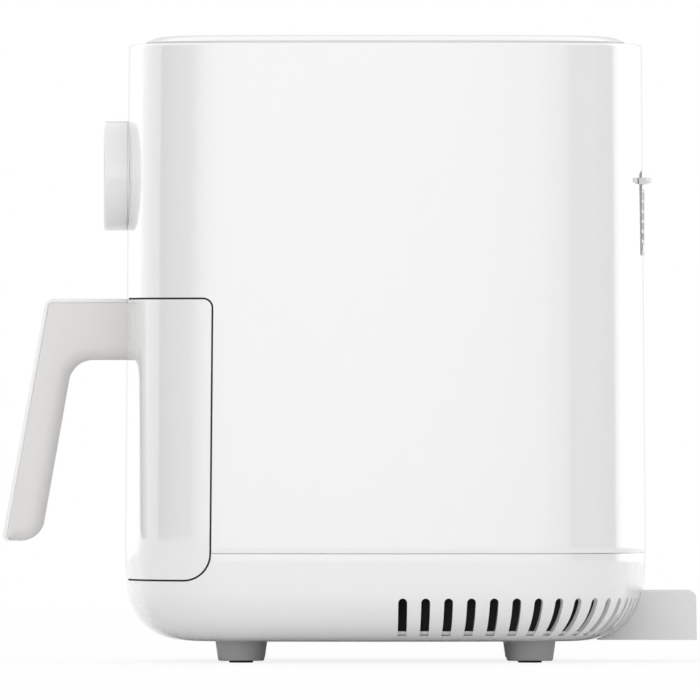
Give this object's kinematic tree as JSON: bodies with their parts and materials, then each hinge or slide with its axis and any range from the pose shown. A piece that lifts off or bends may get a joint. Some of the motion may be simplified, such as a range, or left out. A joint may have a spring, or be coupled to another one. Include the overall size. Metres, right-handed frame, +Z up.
{
  "type": "hot-air fryer",
  "caption": "Compact hot-air fryer: white squared body with bulged sides, pull-out pan drawer with a swept handle, front knob, vented base and rear hot-air exhaust.",
  "frame": {"origin": "middle of the appliance's outline, handle and rear spacer included, on the surface it stands on", "axes": "+Z up, -Y out of the front (drawer, handle and knob), +X to the right seen from the front"},
  "size_m": [0.254, 0.338, 0.304],
  "materials": {
    "gloss_white": "glossy white moulded plastic",
    "matte_warm_white": "warm light grey soft plastic",
    "light_grey": "light grey moulded plastic",
    "dark_grey": "dark grey moulded plastic",
    "foot_grey": "mid grey moulded plastic",
    "black_rubber": "black rubber",
    "red_silicone": "red silicone",
    "steel_sheet": "bright steel sheet",
    "steel_screw": "zinc-plated steel",
    "heater_steel": "heat-tinted steel tube",
    "non_stick": "dark non-stick coating",
    "aluminium": "aluminium sheet",
    "copper_steel": "laminated core with copper windings",
    "frame_ivory": "natural moulded plastic",
    "board_green": "printed circuit board",
    "component_black": "black component cases",
    "lens_smoke": "smoked display lens"
  },
  "bodies": {
    "housing": {"upper_shell": "gloss_white", "base_shell": "gloss_white", "top_cover": "gloss_white", "foot_front_left": "foot_grey", "foot_front_right": "foot_grey", "foot_rear_left": "foot_grey", "foot_rear_right": "foot_grey", "foot_pads": "black_rubber", "rear_exhaust_grille": "light_grey", "rear_spacer": "light_grey", "cord_gland": "dark_grey", "chamber_liner": "steel_sheet", "liner_floor": "steel_sheet", "liner_ceiling": "steel_sheet", "pan_rails": "steel_sheet", "pan_detents": "steel_sheet", "fan_housing": "steel_sheet", "exhaust_duct": "steel_sheet", "heater_coil": "heater_steel", "heater_clips": "steel_sheet", "heater_guard": "steel_sheet", "motor_grommets": "black_rubber", "motor_bracket": "steel_sheet", "motor_lower_end": "dark_grey", "motor_stator": "copper_steel", "motor_upper_end": "dark_grey", "motor_bearings": "steel_sheet", "inner_frame": "frame_ivory", "power_board": "board_green", "power_components": "component_black", "knob_carrier": "dark_grey", "control_board": "board_green", "encoder": "component_black", "drawer_switch": "component_black", "thermostat": "steel_sheet", "thermal_fuse": "steel_sheet", "base_screws": "steel_screw", "liner_screws": "steel_screw", "motor_screws": "steel_screw", "board_screws": "steel_screw"},
    "fan_rotor": {"motor_shaft": "steel_sheet", "motor_rotor": "copper_steel", "hot_air_fan": "aluminium", "fan_nut": "steel_sheet", "cooling_fan": "dark_grey"},
    "knob_core": {"push_stem": "dark_grey", "display_lens": "lens_smoke"},
    "knob_wheel": {"knob_ring": "gloss_white", "magnet_ring": "steel_screw"},
    "drawer": {"drawer_front": "gloss_white", "drawer_inner_panel": "dark_grey", "pan": "non_stick", "handle_grip": "matte_warm_white", "handle_cover": "gloss_white", "handle_bracket": "steel_sheet", "handle_screws": "steel_screw"},
    "crisper": {"crisper_plate": "non_stick", "crisper_feet": "red_silicone"}
  },
  "joints": [
    {"name": "drawer_slide", "type": "slide", "parent": "housing", "child": "drawer", "axis": [0, -1, 0], "range_m": [0, 0.205]},
    {"name": "crisper_lift", "type": "slide", "parent": "drawer", "child": "crisper", "axis": [0, 0, 1], "range_m": [0, 0.09]},
    {"name": "knob_press", "type": "slide", "parent": "housing", "child": "knob_core", "axis": [0, 1, 0], "range_m": [0, 0.0008], "stiffness_N_per_m": 2500, "springref_m": -0.0008},
    {"name": "knob_turn", "type": "hinge", "parent": "knob_core", "child": "knob_wheel", "pos_m": [0, -0.11255, 0.2364], "axis": [0, -1, 0], "continuous": true},
    {"name": "fan_spin", "type": "hinge", "parent": "housing", "child": "fan_rotor", "pos_m": [0, 0.01745, 0.21], "axis": [0, 0, 1], "continuous": true}
  ]
}
